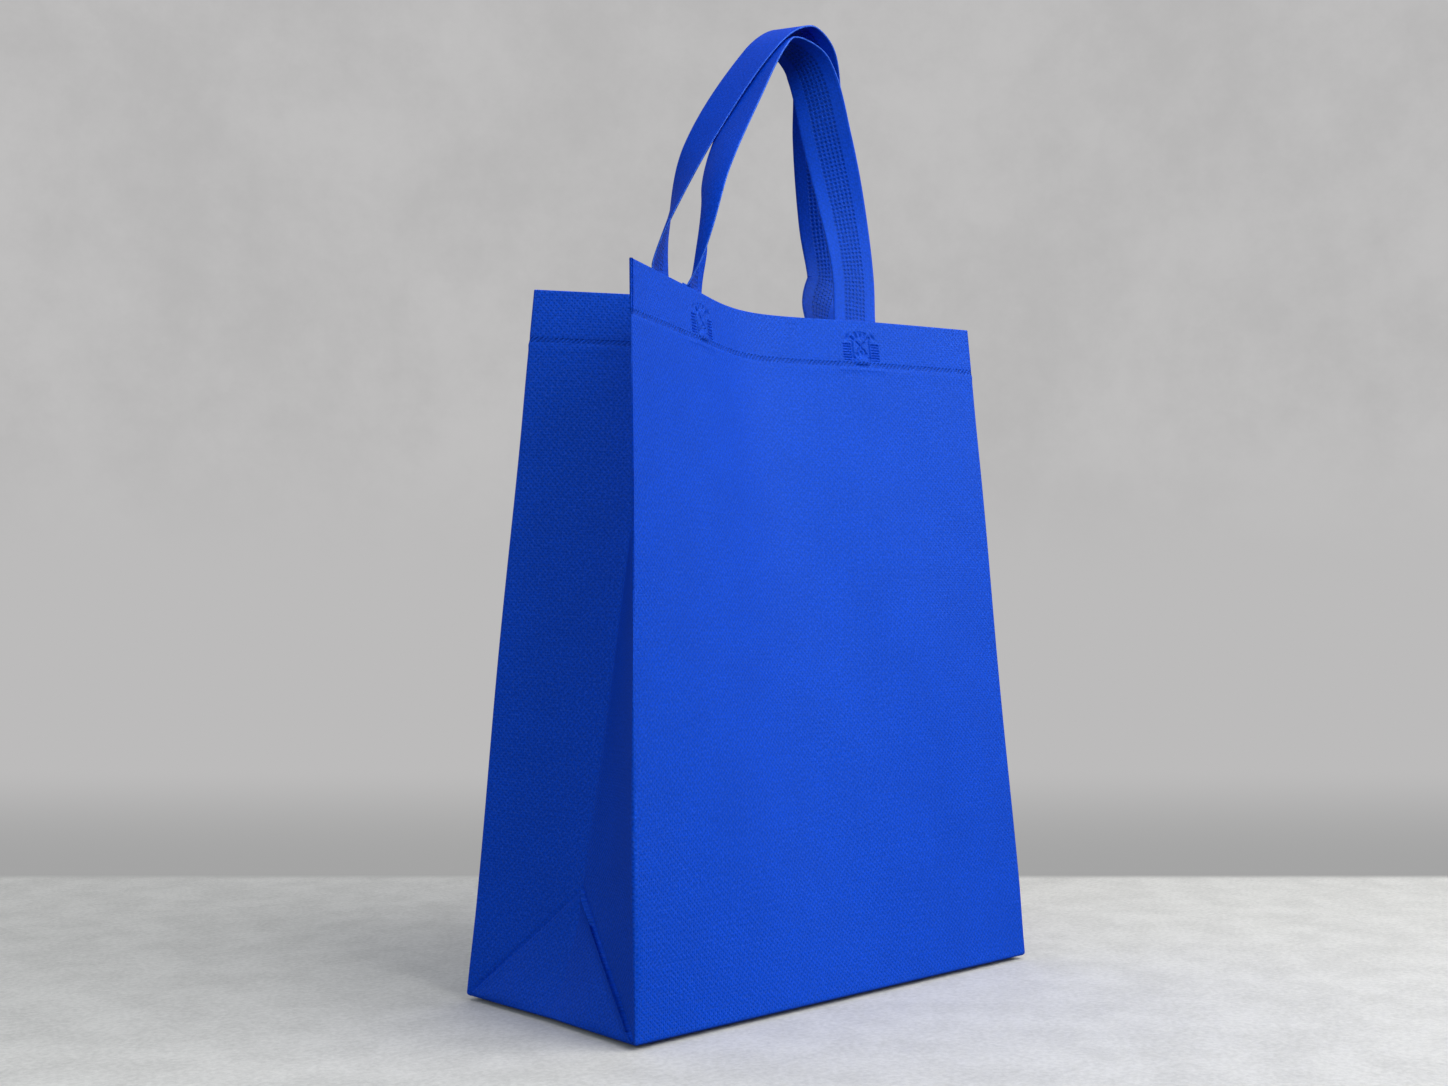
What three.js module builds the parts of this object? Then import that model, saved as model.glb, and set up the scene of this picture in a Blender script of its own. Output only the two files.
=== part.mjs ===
// A carrier bag of non-woven fabric: two panels, two folded gussets, a block bottom, a hem turned
// inward at the mouth, and two strap handles welded inside the hem.
// Millimetres, +Z up. X runs along the wide panels, the front panel faces -Y, and the origin is at
// the middle of the bottom.

import * as THREE from 'three';

// Cut and folded sizes
const PANEL_WIDTH = 320;
const GUSSET_DEPTH = 150;
const PANEL_HEIGHT = 402;
const FABRIC = 0.6;
const HEM_HEIGHT = 28;
const STRAP_WIDTH = 30;
const STRAP_THICKNESS = 1.2;
const STRAP_SPACING = 140;
const STRAP_INSET = 26;
const WELD_HEIGHT = 18;
const SEAT_GAP = 0.3;
const WELD_RELEASE = 8;

// How far each corner of the mouth stands in from the corner of the bottom below it
const FRONT_LEFT_LEAN = { x: 3, y: 9 };
const FRONT_RIGHT_LEAN = { x: 11, y: 34 };
const BACK_LEFT_LEAN = { x: 12, y: 44 };
const BACK_RIGHT_LEAN = { x: 8, y: 38 };

// How far the middle of each mouth edge is drawn in from the line between its corners
const FRONT_PULL = 44;
const BACK_PULL = 27;

// Shape of each drawn-in edge: share of the way along it, and share of the pull
const FRONT_PULL_SHAPE = [[0, 0], [0.24, 0.62], [0.47, 1], [0.76, 0.455], [1, 0]];
const BACK_PULL_SHAPE = [[0, 0], [0.25, 0.5], [0.5, 1], [0.75, 0.5], [1, 0]];

// The folded triangle at each end of the bottom: its height along the fabric, how far it leans
// inward, how far its point stands off the middle, and how far its foot is bowed inward
const TRIANGLE_HEIGHT = 71;
const TRIANGLE_LEAN = 18.5;
const TRIANGLE_SKEW = 3;
const FOOT_BOW = 2;

// Height of each handle above the mouth, and where the two meet across the mouth
const FRONT_HANDLE_RISE = 169;
const BACK_HANDLE_RISE = 180;
const HANDLES_MEET_Y = -4.5;

// Each handle's free loop, from its left weld to its right weld. across is the share of the way
// between the welds, rise the share of the handle's height, and lean the share of the way from its
// own panel to where the handles meet. turn is the plan direction of the strap's width in degrees,
// or the weld's own direction where it is left out, cup bends the strap along its length, and tilt
// lifts its far edge.
const FRONT_LOOP = [
  { across: 0.008, rise: 0, lean: 0.17, turn: 33, cup: 4, tilt: 0 },
  { across: 0.015, rise: 0.18, lean: 0, turn: 52, cup: 46, tilt: 0 },
  { across: 0.105, rise: 0.415, lean: 0.1, turn: 76, cup: 26, tilt: 0 },
  { across: 0.355, rise: 0.715, lean: 0.48, turn: 88, cup: 0, tilt: -3 },
  { across: 0.55, rise: 0.93, lean: 0.87, turn: 91, cup: 0, tilt: -2 },
  { across: 0.65, rise: 0.995, lean: 1.03, turn: 97, cup: 0, tilt: 2 },
  { across: 0.805, rise: 0.925, lean: 0.87, turn: 112, cup: 0, tilt: 0 },
  { across: 0.885, rise: 0.66, lean: 0.53, turn: 134, cup: 0, tilt: 0 },
  { across: 0.98, rise: 0.335, lean: 0.3, turn: 160, cup: 0, tilt: 0 },
  { across: 1.01, rise: 0.155, lean: 0.18, turn: 167, cup: 0, tilt: 0 },
  { across: 1, rise: 0, lean: 0.05, cup: 0, tilt: 0 },
];
const BACK_LOOP = [
  { across: 0, rise: 0, lean: 0.05, cup: 0, tilt: 0 },
  { across: -0.018, rise: 0.065, lean: -0.04, turn: 30, cup: 10, tilt: 0 },
  { across: -0.03, rise: 0.12, lean: -0.1, turn: 32, cup: 16, tilt: 0 },
  { across: 0.01, rise: 0.265, lean: 0, turn: 50, cup: 16, tilt: 0 },
  { across: 0.16, rise: 0.555, lean: 0.38, turn: 84, cup: 0, tilt: 4 },
  { across: 0.475, rise: 0.905, lean: 0.88, turn: 88, cup: 0, tilt: 8 },
  { across: 0.665, rise: 1, lean: 1.02, turn: 90, cup: 0, tilt: 9 },
  { across: 0.785, rise: 0.94, lean: 1.02, turn: 106, cup: 0, tilt: 6 },
  { across: 0.84, rise: 0.81, lean: 0.89, turn: 120, cup: 0, tilt: 0 },
  { across: 0.895, rise: 0.66, lean: 0.57, turn: 128, cup: 0, tilt: 0 },
  { across: 1, rise: 0.39, lean: 0.17, turn: 150, cup: 0, tilt: 0 },
  { across: 1.065, rise: 0.19, lean: 0, turn: 172, cup: 0, tilt: 0 },
  { across: 1.015, rise: 0.09, lean: 0.02, turn: 176, cup: 0, tilt: 0 },
  { across: 1, rise: 0, lean: 0.05, cup: 0, tilt: 0 },
];

// Counts that set how finely the surfaces are divided
const PANEL_COLUMNS = 32;
const GUSSET_COLUMNS = 5;
const FOLD_ROWS = 3;
const WALL_ROWS = 7;
const HEM_ROWS = 2;
const STRAP_ROWS = 52;
const STRAP_COLUMNS = 6;

const HALF_WIDTH = PANEL_WIDTH / 2;
const HALF_DEPTH = GUSSET_DEPTH / 2;

const fabricMaterial = new THREE.MeshStandardMaterial({ color: 0x1847c8, roughness: 0.62, metalness: 0 });
const strapMaterial = new THREE.MeshStandardMaterial({ color: 0x1741bd, roughness: 0.6, metalness: 0 });

const mix = (a, b, share) => new THREE.Vector3().lerpVectors(a, b, share);
const smooth = (share) => THREE.MathUtils.smoothstep(share, 0, 1);

// A smooth curve through values given at rising knots, read at one place
function curveThrough(knots, values, at) {
  const last = knots.length - 1;
  let i = 0;
  while (i < last - 1 && at > knots[i + 1]) i += 1;
  const slope = (a, b) => (values[b] - values[a]) / (knots[b] - knots[a]);
  const span = knots[i + 1] - knots[i];
  const start = slope(Math.max(i - 1, 0), i + 1) * span;
  const end = slope(i, Math.min(i + 2, last)) * span;
  const t = (at - knots[i]) / span;
  const bend = t * t * (3 - 2 * t);
  return values[i] * (1 - bend) + values[i + 1] * bend
    + start * t * (1 - t) * (1 - t) - end * t * t * (1 - t);
}

// Corners of the bottom and of the mouth, each side's in the order that it is walked
const foot = {
  frontLeft: new THREE.Vector3(-HALF_WIDTH, -HALF_DEPTH, 0),
  frontRight: new THREE.Vector3(HALF_WIDTH, -HALF_DEPTH, 0),
  backRight: new THREE.Vector3(HALF_WIDTH, HALF_DEPTH, 0),
  backLeft: new THREE.Vector3(-HALF_WIDTH, HALF_DEPTH, 0),
};

const mouth = {
  frontLeft: raised(foot.frontLeft, FRONT_LEFT_LEAN),
  frontRight: raised(foot.frontRight, FRONT_RIGHT_LEAN),
  backRight: raised(foot.backRight, BACK_RIGHT_LEAN),
  backLeft: raised(foot.backLeft, BACK_LEFT_LEAN),
};

// The corner of the mouth over a corner of the bottom, one panel height away from it
function raised(corner, lean) {
  const x = corner.x - Math.sign(corner.x) * lean.x;
  const y = corner.y - Math.sign(corner.y) * lean.y;
  const z = Math.sqrt(PANEL_HEIGHT ** 2 - lean.x ** 2 - lean.y ** 2);
  return new THREE.Vector3(x, y, z);
}

// A wide panel: straight up from its bottom edge to its drawn-in mouth edge
function panel(footStart, footEnd, mouthStart, mouthEnd, pull, shape) {
  const along = mouthEnd.clone().sub(mouthStart);
  const inward = new THREE.Vector2(-along.y, along.x).normalize();
  const edge = new THREE.SplineCurve(shape.map(([share, depth]) => new THREE.Vector2(
    mouthStart.x + along.x * share + inward.x * pull * depth,
    mouthStart.y + along.y * share + inward.y * pull * depth,
  )));
  edge.arcLengthDivisions = 400;
  const footAt = (share) => mix(footStart, footEnd, share);
  const mouthAt = (share) => {
    const base = footAt(share);
    const top = edge.getPointAt(share);
    const away = Math.hypot(top.x - base.x, top.y - base.y);
    return new THREE.Vector3(top.x, top.y, Math.sqrt(PANEL_HEIGHT ** 2 - away ** 2));
  };
  return { columns: PANEL_COLUMNS, footAt, foldAt: footAt, mouthAt };
}

// The point of the folded triangle, and the top of the gusset's crease above it
function triangleTip(side) {
  const lean = THREE.MathUtils.degToRad(TRIANGLE_LEAN);
  const x = side * (HALF_WIDTH - TRIANGLE_HEIGHT * Math.sin(lean));
  return new THREE.Vector3(x, -TRIANGLE_SKEW, TRIANGLE_HEIGHT * Math.cos(lean));
}

function creaseTop(side, front, back, tip) {
  const middle = mix(front, back, 0.5);
  const opening = Math.hypot(back.x - front.x, back.y - front.y);
  const depth = Math.sqrt(HALF_DEPTH ** 2 - (opening / 2) ** 2);
  const x = middle.x - side * depth * (back.y - front.y) / opening;
  const y = middle.y + side * depth * (back.x - front.x) / opening;
  const away = Math.hypot(x - tip.x, y - tip.y);
  const rise = Math.sqrt((PANEL_HEIGHT - TRIANGLE_HEIGHT) ** 2 - away ** 2);
  return new THREE.Vector3(x, y, tip.z + rise);
}

// One half of a gusset, between a corner of the bag and the crease
function gussetHalf(footStart, footEnd, foldStart, foldEnd, mouthStart, mouthEnd) {
  return {
    columns: GUSSET_COLUMNS,
    footAt: (share) => mix(footStart, footEnd, share),
    foldAt: (share) => mix(foldStart, foldEnd, share),
    mouthAt: (share) => mix(mouthStart, mouthEnd, share),
  };
}

function gusset(side, front, back) {
  const middle = mix(foot[front], foot[back], 0.5);
  middle.x -= side * FOOT_BOW;
  const tip = triangleTip(side);
  const crease = creaseTop(side, mouth[front], mouth[back], tip);
  const fromFront = gussetHalf(foot[front], middle, foot[front], tip, mouth[front], crease);
  const toBack = gussetHalf(middle, foot[back], tip, foot[back], crease, mouth[back]);
  const fromBack = gussetHalf(foot[back], middle, foot[back], tip, mouth[back], crease);
  const toFront = gussetHalf(middle, foot[front], tip, foot[front], crease, mouth[front]);
  return side > 0 ? [fromFront, toBack] : [fromBack, toFront];
}

const frontPanel = panel(
  foot.frontLeft, foot.frontRight, mouth.frontLeft, mouth.frontRight, FRONT_PULL, FRONT_PULL_SHAPE,
);
const backPanel = panel(
  foot.backRight, foot.backLeft, mouth.backRight, mouth.backLeft, BACK_PULL, BACK_PULL_SHAPE,
);

// The wall of the bag, walked counterclockwise as seen from above
const walls = [
  frontPanel,
  ...gusset(1, 'frontRight', 'backRight'),
  backPanel,
  ...gusset(-1, 'frontLeft', 'backLeft'),
];
const SQUARE_CORNERS = [0, 1, 3, 4];

// A place on a wall, at a height measured along the fabric above the fold
function wallPoint(wall, share, height) {
  const fold = wall.foldAt(share);
  const top = wall.mouthAt(share);
  return mix(fold, top, height / fold.distanceTo(top));
}

// One row of the wall: its points on every wall, corners included
function wallRow(row) {
  return walls.map((wall) => {
    const points = [];
    for (let i = 0; i <= wall.columns; i += 1) {
      const share = i / wall.columns;
      if (row.stage === 'fold') {
        points.push(mix(wall.footAt(share), wall.foldAt(share), row.share));
      } else {
        const length = wall.foldAt(share).distanceTo(wall.mouthAt(share));
        const hemLine = length - HEM_HEIGHT;
        const height = row.stage === 'wall' ? hemLine * row.share : hemLine + HEM_HEIGHT * row.share;
        points.push(wallPoint(wall, share, height));
      }
    }
    return points;
  });
}

// The direction along a row of points at one end, in plan
function planDirection(from, to) {
  return new THREE.Vector2(to.x - from.x, to.y - from.y).normalize();
}

const leftOf = (direction) => new THREE.Vector2(-direction.y, direction.x);

// The step from a corner to the corner of the same walls moved inward by a thickness
function miterStep(before, after, thickness) {
  const a = leftOf(before);
  const b = leftOf(after);
  return a.clone().add(b).multiplyScalar(thickness / (1 + a.dot(b)));
}

function cornerSteps(row, thickness) {
  return row.map((points, i) => {
    const previous = row[(i + row.length - 1) % row.length];
    const before = planDirection(previous.at(-2), previous.at(-1));
    const after = planDirection(points[0], points[1]);
    return miterStep(before, after, thickness);
  });
}

// A row moved inward by a thickness, ending at the moved corners
function movedInward(row, thickness, steps) {
  return row.map((points, i) => {
    const count = points.length - 1;
    const first = points[0];
    const last = points[count];
    const length = first.distanceTo(last);
    const startStep = steps[i];
    const endStep = steps[(i + 1) % row.length];
    const trimStart = startStep.dot(planDirection(first, points[1])) / length;
    const trimEnd = -endStep.dot(planDirection(points[count - 1], last)) / length;
    return points.map((point, j) => {
      if (j === 0) return stepped(first, startStep);
      if (j === count) return stepped(last, endStep);
      const place = (trimStart + (1 - trimStart - trimEnd) * (j / count)) * count;
      const cell = THREE.MathUtils.clamp(Math.floor(place), 0, count - 1);
      const on = mix(points[cell], points[cell + 1], place - cell);
      const around = planDirection(points[Math.max(j - 1, 0)], points[Math.min(j + 1, count)]);
      return stepped(on, leftOf(around).multiplyScalar(thickness));
    });
  });
}

const stepped = (point, step) => new THREE.Vector3(
  point.x + step.x, point.y + step.y, Math.max(point.z, FABRIC),
);

// Walls joined into one closed ring of points, each corner once
const ring = (row) => row.flatMap((points) => points.slice(0, -1));

// Collects triangles whose corners are shared, leaving out those with no area
class Solid {
  constructor() {
    this.places = new Map();
    this.positions = [];
    this.indices = [];
  }

  corner(point) {
    const key = [point.x, point.y, point.z].map((value) => value.toFixed(4)).join(' ');
    if (!this.places.has(key)) {
      this.places.set(key, this.positions.length / 3);
      this.positions.push(point.x, point.y, point.z);
    }
    return this.places.get(key);
  }

  triangle(a, b, c) {
    const corners = [a, b, c].map((point) => this.corner(point));
    if (new Set(corners).size === 3) this.indices.push(...corners);
  }

  quad(a, b, c, d) {
    this.triangle(a, b, c);
    this.triangle(a, c, d);
  }

  // A band between two closed rings, facing outward when the upper ring lies above the lower one
  band(lower, upper) {
    lower.forEach((point, i) => {
      const next = (i + 1) % lower.length;
      this.quad(point, lower[next], upper[next], upper[i]);
    });
  }

  // A grid of points, facing the side from which its rows run right and its columns run up
  sheet(grid) {
    for (let i = 0; i < grid.length - 1; i += 1) {
      for (let j = 0; j < grid[i].length - 1; j += 1) {
        this.quad(grid[i][j], grid[i][j + 1], grid[i + 1][j + 1], grid[i + 1][j]);
      }
    }
  }

  geometry() {
    const geometry = new THREE.BufferGeometry();
    geometry.setAttribute('position', new THREE.Float32BufferAttribute(this.positions, 3));
    geometry.setIndex(this.indices);
    geometry.computeVertexNormals();
    return geometry;
  }
}

// The flat bottom, spanned by the feet of the four walls
function bottomGrid(row, height) {
  const [front, sideFront, sideBack] = row;
  const side = [...sideFront.slice(0, -1), ...sideBack];
  return side.map((edge) => front.map((point) => (
    new THREE.Vector3(point.x * edge.x / front.at(-1).x, edge.y, height)
  )));
}

function stageRows(stage, count, from) {
  return Array.from({ length: count + 1 - from }, (_, i) => ({ stage, share: (i + from) / count }));
}

// Panels, gussets, bottom and hem: one folded shell, doubled where the hem is turned in
function bagBody() {
  const solid = new Solid();
  const belowHem = [...stageRows('fold', FOLD_ROWS, 0), ...stageRows('wall', WALL_ROWS, 1)].map(wallRow);
  const inHem = stageRows('hem', HEM_ROWS, 0).map(wallRow);
  const outside = [...belowHem, ...inHem.slice(1)];
  const footSteps = cornerSteps(outside[0], FABRIC);

  const lining = belowHem.map((row, i) => {
    const steps = cornerSteps(row, FABRIC);
    if (i <= FOLD_ROWS) SQUARE_CORNERS.forEach((corner) => { steps[corner] = footSteps[corner]; });
    return movedInward(row, FABRIC, steps);
  });
  const hemLining = inHem.map((row) => movedInward(row, 2 * FABRIC, cornerSteps(row, 2 * FABRIC)));

  const inside = [...lining, ...hemLining].map(ring);
  const skin = outside.map(ring);
  skin.slice(1).forEach((upper, i) => solid.band(skin[i], upper));
  inside.slice(1).forEach((upper, i) => solid.band(upper, inside[i]));
  solid.band(skin.at(-1), inside.at(-1));
  solid.sheet(bottomGrid(lining[0], FABRIC));
  solid.sheet(bottomGrid(outside[0], 0).reverse());
  return solid.geometry();
}

// Where a handle is welded: inside the hem, at a share of the way along its panel
function weldPoint(wall, share, height) {
  const step = 1e-3;
  const point = wallPoint(wall, share, height);
  const around = planDirection(wallPoint(wall, share - step, height), wallPoint(wall, share + step, height));
  const inward = leftOf(around).multiplyScalar(2 * FABRIC + SEAT_GAP + STRAP_THICKNESS / 2);
  return new THREE.Vector3(point.x + inward.x, point.y + inward.y, point.z);
}

// A handle's weld: the middle of the strap there, and the strap's own row of points across it, which
// runs from the edge nearer the bag's side to the edge nearer its middle
function weld(wall, side) {
  const towardsMiddle = wall === frontPanel ? -side : side;
  const share = 0.5 - towardsMiddle * (STRAP_SPACING / (2 * PANEL_WIDTH));
  const across = towardsMiddle * (STRAP_WIDTH / PANEL_WIDTH);
  const rowAt = (height) => Array.from({ length: STRAP_COLUMNS + 1 }, (_, j) => (
    weldPoint(wall, share + across * (j / STRAP_COLUMNS - 0.5), PANEL_HEIGHT + height)
  ));
  const atMouth = rowAt(0);
  const span = atMouth.at(-1).clone().sub(atMouth[0]);
  const angle = THREE.MathUtils.radToDeg(Math.atan2(span.y, span.x));
  return {
    rowAt,
    turn: side > 0 && angle < 0 ? angle + 360 : angle,
    mouth: weldPoint(wall, share, PANEL_HEIGHT),
    top: weldPoint(wall, share, PANEL_HEIGHT - STRAP_INSET + WELD_HEIGHT),
    end: weldPoint(wall, share, PANEL_HEIGHT - STRAP_INSET),
  };
}

// The stations of a handle, from the lower end of its left weld to that of its right weld
function loopStations(left, right, rise, loop) {
  const stations = [
    { point: left.end, turn: left.turn, cup: 0, tilt: 0 },
    { point: left.top, turn: left.turn, cup: 0, tilt: 0 },
  ];
  loop.forEach((place) => {
    const base = mix(left.mouth, right.mouth, place.across);
    const y = THREE.MathUtils.lerp(base.y, HANDLES_MEET_Y, place.lean);
    const point = new THREE.Vector3(base.x, y, base.z + rise * place.rise);
    const weldTurn = place.across < 0.5 ? left.turn : right.turn;
    stations.push({ point, turn: place.turn ?? weldTurn, cup: place.cup, tilt: place.tilt });
  });
  stations.push({ point: right.top, turn: right.turn, cup: 0, tilt: 0 });
  stations.push({ point: right.end, turn: right.turn, cup: 0, tilt: 0 });
  return stations;
}

// The strap's middle surface: a row of points across it at each place along it
function strapSurface(left, right, rise, loop) {
  const stations = loopStations(left, right, rise, loop);
  const knots = [0];
  stations.slice(1).forEach((station, i) => {
    knots.push(knots[i] + station.point.distanceTo(stations[i].point));
  });
  const length = knots.at(-1);
  const read = (pick, at) => curveThrough(knots, stations.map(pick), at);
  const centre = (at) => new THREE.Vector3(
    read((s) => s.point.x, at), read((s) => s.point.y, at), read((s) => s.point.z, at),
  );

  const rows = [];
  for (let i = 0; i <= STRAP_ROWS; i += 1) {
    const at = length * (i / STRAP_ROWS);
    const row = freeRow(centre, at, (pick) => read(pick, at));
    const fromLeft = at - knots[1];
    const fromRight = knots.at(-2) - at;
    const nearest = fromLeft < fromRight ? left : right;
    const aboveWeld = Math.min(fromLeft, fromRight);
    const welded = nearest.rowAt(aboveWeld + WELD_HEIGHT - STRAP_INSET);
    const freedom = smooth(aboveWeld / WELD_RELEASE);
    rows.push(row.map((point, j) => mix(welded[j], point, freedom)));
  }
  return rows;
}

// A row of points across the free strap, stepped out both ways from its middle
function freeRow(centre, at, read) {
  const nudge = 0.5;
  const along = centre(at + nudge).sub(centre(at - nudge)).normalize();
  const turn = read((s) => s.turn);
  const cup = read((s) => s.cup);
  const tilt = THREE.MathUtils.degToRad(read((s) => s.tilt));
  const widthAt = (side) => {
    const angle = THREE.MathUtils.degToRad(turn - cup * side);
    const across = new THREE.Vector3(
      Math.cos(angle) * Math.cos(tilt), Math.sin(angle) * Math.cos(tilt), Math.sin(tilt),
    );
    return across.addScaledVector(along, -across.dot(along)).normalize();
  };
  const middle = STRAP_COLUMNS / 2;
  const step = STRAP_WIDTH / STRAP_COLUMNS;
  const row = [];
  row[middle] = centre(at);
  for (let j = 1; j <= middle; j += 1) {
    const side = (j - 0.5) / middle;
    row[middle + j] = row[middle + j - 1].clone().addScaledVector(widthAt(side), step);
    row[middle - j] = row[middle - j + 1].clone().addScaledVector(widthAt(-side), -step);
  }
  return row;
}

// The strap as a closed solid, half its thickness to each side of its middle surface
function strap(left, right, rise, loop) {
  const rows = strapSurface(left, right, rise, loop);
  const face = (side) => rows.map((row, i) => row.map((point, j) => {
    const along = rows[Math.min(i + 1, STRAP_ROWS)][j].clone().sub(rows[Math.max(i - 1, 0)][j]);
    const across = row[Math.min(j + 1, STRAP_COLUMNS)].clone().sub(row[Math.max(j - 1, 0)]);
    const out = across.cross(along).normalize();
    return point.clone().addScaledVector(out, side * STRAP_THICKNESS / 2);
  }));
  const upper = face(1);
  const lower = face(-1);
  const border = (grid) => [
    ...grid[0],
    ...grid.slice(1).map((row) => row.at(-1)),
    ...grid.at(-1).slice(0, -1).reverse(),
    ...grid.slice(1, -1).reverse().map((row) => row[0]),
  ];
  const solid = new Solid();
  solid.sheet(upper);
  solid.sheet(lower.map((row) => [...row].reverse()));
  solid.band(border(lower), border(upper));
  return solid.geometry();
}

function handle(wall, rise, loop) {
  return strap(weld(wall, -1), weld(wall, 1), rise, loop);
}

function named(name, geometry, material) {
  const mesh = new THREE.Mesh(geometry, material);
  mesh.name = name;
  return mesh;
}

const bag = new THREE.Group();
bag.add(named('bag_body', bagBody(), fabricMaterial));
bag.add(named('handle_front', handle(frontPanel, FRONT_HANDLE_RISE, FRONT_LOOP), strapMaterial));
bag.add(named('handle_back', handle(backPanel, BACK_HANDLE_RISE, BACK_LOOP), strapMaterial));

export default bag;
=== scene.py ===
# Looks of the non-woven carrier bag: its cloth body, its welds and its two folded straps.
# Shapes are worked out in millimetres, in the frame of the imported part, and become metres in
# make_mesh. The cloth is one continuous skin: up the outside, over the mouth and down the inside.

import math

import bpy
import numpy as np
from mathutils import Matrix, Vector


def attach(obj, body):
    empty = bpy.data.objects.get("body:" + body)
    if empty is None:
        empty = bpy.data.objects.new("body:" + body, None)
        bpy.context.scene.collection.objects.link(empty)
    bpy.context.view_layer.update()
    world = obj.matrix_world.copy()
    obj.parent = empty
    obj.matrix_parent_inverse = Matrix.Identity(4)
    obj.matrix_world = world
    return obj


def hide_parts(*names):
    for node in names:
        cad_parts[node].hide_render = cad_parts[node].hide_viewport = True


MM = 0.001

# Cut and folded sizes, the same as in the part
PANEL_WIDTH = 320
GUSSET_DEPTH = 150
PANEL_HEIGHT = 402
FABRIC = 0.6
HEM_HEIGHT = 28
STRAP_WIDTH = 30
STRAP_THICKNESS = 1.2
STRAP_SPACING = 140
STRAP_INSET = 26
WELD_HEIGHT = 18
SEAT_GAP = 0.3
WELD_RELEASE = 8
CLOTH_ROUND = 2 * (PANEL_WIDTH + GUSSET_DEPTH)

# How far each corner of the mouth stands in from the corner of the bottom below it
LEAN = {
    "front_left": (3, 9),
    "front_right": (11, 34),
    "back_right": (8, 38),
    "back_left": (12, 44),
}

# How far the middle of each mouth edge is drawn in, and the shape of the drawn-in edge
FRONT_PULL = 44
BACK_PULL = 27
FRONT_PULL_SHAPE = [(0, 0), (0.24, 0.62), (0.47, 1), (0.76, 0.455), (1, 0)]
BACK_PULL_SHAPE = [(0, 0), (0.25, 0.5), (0.5, 1), (0.75, 0.5), (1, 0)]

# The folded triangle at the foot of each gusset, and how far the middle of its foot is drawn in
TRIANGLE_HEIGHT = 71
TRIANGLE_LEAN = 18.5
TRIANGLE_SKEW = 3
FOOT_BOW = 2

# How high the handles' loops rise above the mouth, and where they meet
FRONT_HANDLE_RISE = 169
BACK_HANDLE_RISE = 180
HANDLES_MEET_Y = -4.5

# Each handle's free loop: across, rise, lean, turn, cup and tilt, as in the part. None takes the
# direction of the weld.
FRONT_LOOP = [
    (0.008, 0, 0.17, 33, 4, 0),
    (0.015, 0.18, 0, 52, 46, 0),
    (0.105, 0.415, 0.1, 76, 26, 0),
    (0.355, 0.715, 0.48, 88, 0, -3),
    (0.55, 0.93, 0.87, 91, 0, -2),
    (0.65, 0.995, 1.03, 97, 0, 2),
    (0.805, 0.925, 0.87, 112, 0, 0),
    (0.885, 0.66, 0.53, 134, 0, 0),
    (0.98, 0.335, 0.3, 160, 0, 0),
    (1.01, 0.155, 0.18, 167, 0, 0),
    (1, 0, 0.05, None, 0, 0),
]
BACK_LOOP = [
    (0, 0, 0.05, None, 0, 0),
    (-0.018, 0.065, -0.04, 30, 10, 0),
    (-0.03, 0.12, -0.1, 32, 16, 0),
    (0.01, 0.265, 0, 50, 16, 0),
    (0.16, 0.555, 0.38, 84, 0, 4),
    (0.475, 0.905, 0.88, 88, 0, 8),
    (0.665, 1, 1.02, 90, 0, 9),
    (0.785, 0.94, 1.02, 106, 0, 6),
    (0.84, 0.81, 0.89, 120, 0, 0),
    (0.895, 0.66, 0.57, 128, 0, 0),
    (1, 0.39, 0.17, 150, 0, 0),
    (1.065, 0.19, 0, 172, 0, 0),
    (1.015, 0.09, 0.02, 176, 0, 0),
    (1, 0, 0.05, None, 0, 0),
]

# Roundness of the folds, and the height over which the hem's second layer sets in
FOOT_ROUND = 2.0
FOOT_LIFT = 2.4
FOOT_REACH = 10
EDGE_ROUND_LOW = 1.6
EDGE_ROUND_HIGH = 3.4
CREASE_ROUND = 2.2
HEM_STEP = 1.6

# The narrow edges of a strap, from one face to the other, as shares of half its thickness and mm
# sideways
FOLDED_EDGE = [(0.75, 0.22), (0.45, 0.46), (0, 0.55), (-0.45, 0.46), (-0.75, 0.22)]
CUT_EDGES = [(0.8, 0.25), (0.5, 0.3), (0.12, 0.26), (0, -0.3), (-0.12, 0.26), (-0.5, 0.3), (-0.8, 0.25)]

# The pressed fold along the sides of the folded triangle
FOLD_LIP = 1.8
FOLD_LIP_WIDTH = 2.4
FOLD_VALLEY = 2.6
FOLD_VALLEY_WIDTH = 1.5
FOLD_VALLEY_ABOVE = 1
REAR_LIP_SHARE = 0.1
REAR_VALLEY_SHARE = 0.4
FOLD_LIP_TOP = 0.2
FOLD_CORNER_FADE = 9
FOLD_FOOT_FADE = 8
TRIANGLE_VALLEY = 3.2
TRIANGLE_VALLEY_WIDTH = 30
TRIANGLE_VALLEY_START = 25
TRIANGLE_VALLEY_END = 12

# The hem's pressed groove and the ridge below it
HEM_GROOVE = 0.15
HEM_GROOVE_WIDTH = 1.6
HEM_RIDGE = 0.3
HEM_RIDGE_WIDTH = 1.4
HEM_RIDGE_BELOW = 3.2

# Fineness of the surfaces. The rows are closer together at the folds and at the hem: those of the
# triangle are in mm of half the gusset's depth, the others in mm above the fold, below the hem's
# weld and below the mouth. A step between rows that is shorter than NO_RISE counts as none.
PANEL_STEP = 4.0
ROW_STEP = 5.0
CORNER_STEPS = 7
FOOT_STEPS = 6
MOUTH_STEPS = 7
TRIANGLE_ROWS = [6.5, 16, 28, 40, 52, 62, 68, 71, 72.5, 73.6, 74.4]
ROWS_ABOVE_FOLD = [5.6, 7.2, 9.5]
ROWS_ROUND_WELD = [6, 3, 1.6, 0, -1.6, -3]
ROWS_IN_HEM = [22, 18, 14, 10, 6, 3, 1.5, FABRIC]
STRAP_ROWS = 260
STRAP_COLUMNS = 24
WELD_STEP = 0.3
NO_RISE = 1e-3

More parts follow.
